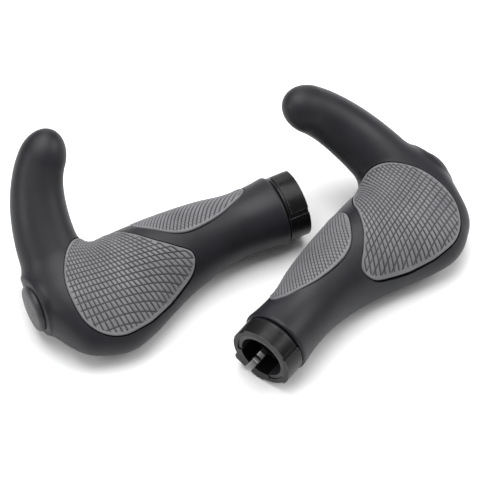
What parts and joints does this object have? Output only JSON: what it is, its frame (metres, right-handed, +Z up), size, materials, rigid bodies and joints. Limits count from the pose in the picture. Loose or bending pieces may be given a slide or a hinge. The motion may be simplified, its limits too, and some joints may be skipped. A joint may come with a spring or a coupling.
{
  "type": "bar end grips",
  "caption": "Left and right lock-on bicycle grips with a palm wing, grey textured pads, a forward horn as bar end, a clamp ring with its screw, and an end plug.",
  "frame": {"origin": "middle of the pair's footprint on the table that the two grips lie on", "axes": "+Z up, +X from the left grip to the right grip, +Y away from the viewer; each grip's bar axis is level and turned about Z"},
  "size_m": [0.2174, 0.1402, 0.0677],
  "materials": {
    "black_rubber": "satin",
    "grey_pad": "matte, knurled",
    "black_nylon": "satin",
    "black_anodised": "gloss anodised",
    "screw_steel": "black oxide",
    "grey_plug": "satin"
  },
  "bodies": {
    "root": {"left_sleeve": "black_nylon", "left_rubber_body": "black_rubber", "left_palm_pad": "grey_pad", "left_finger_pad": "grey_pad"},
    "right_grip": {"right_sleeve": "black_nylon", "right_rubber_body": "black_rubber", "right_palm_pad": "grey_pad", "right_finger_pad": "grey_pad"},
    "left_ring": {"left_lock_ring": "black_anodised"},
    "left_screw": {"left_clamp_screw": "screw_steel"},
    "left_plug": {"left_end_plug": "grey_plug"},
    "right_ring": {"right_lock_ring": "black_anodised"},
    "right_screw": {"right_clamp_screw": "screw_steel"},
    "right_plug": {"right_end_plug": "grey_plug"}
  },
  "joints": [
    {"name": "grips_apart", "type": "slide", "parent": "root", "child": "right_grip", "axis": [1, 0, 0], "range_m": [0, 0.12]},
    {"name": "left_ring_off", "type": "slide", "parent": "root", "child": "left_ring", "axis": [0.8902, 0.4555, 0], "range_m": [0, 0.014]},
    {"name": "left_screw_turn", "type": "hinge", "parent": "left_ring", "child": "left_screw", "pos_m": [0.01673, 0.03777, 0.00766], "axis": [-0.4094, 0.8001, 0.4384], "range_deg": [0, 720]},
    {"name": "left_plug_out", "type": "slide", "parent": "root", "child": "left_plug", "axis": [-0.8902, -0.4555, 0], "range_m": [0, 0.015]},
    {"name": "right_ring_off", "type": "slide", "parent": "right_grip", "child": "right_ring", "axis": [-0.5948, -0.8039, 0], "range_m": [0, 0.014]},
    {"name": "right_screw_turn", "type": "hinge", "parent": "right_ring", "child": "right_screw", "pos_m": [0.00362, -0.04993, 0.00766], "axis": [-0.7225, 0.5346, 0.4384], "range_deg": [0, 720]},
    {"name": "right_plug_out", "type": "slide", "parent": "right_grip", "child": "right_plug", "axis": [0.5948, 0.8039, 0], "range_m": [0, 0.015]}
  ]
}
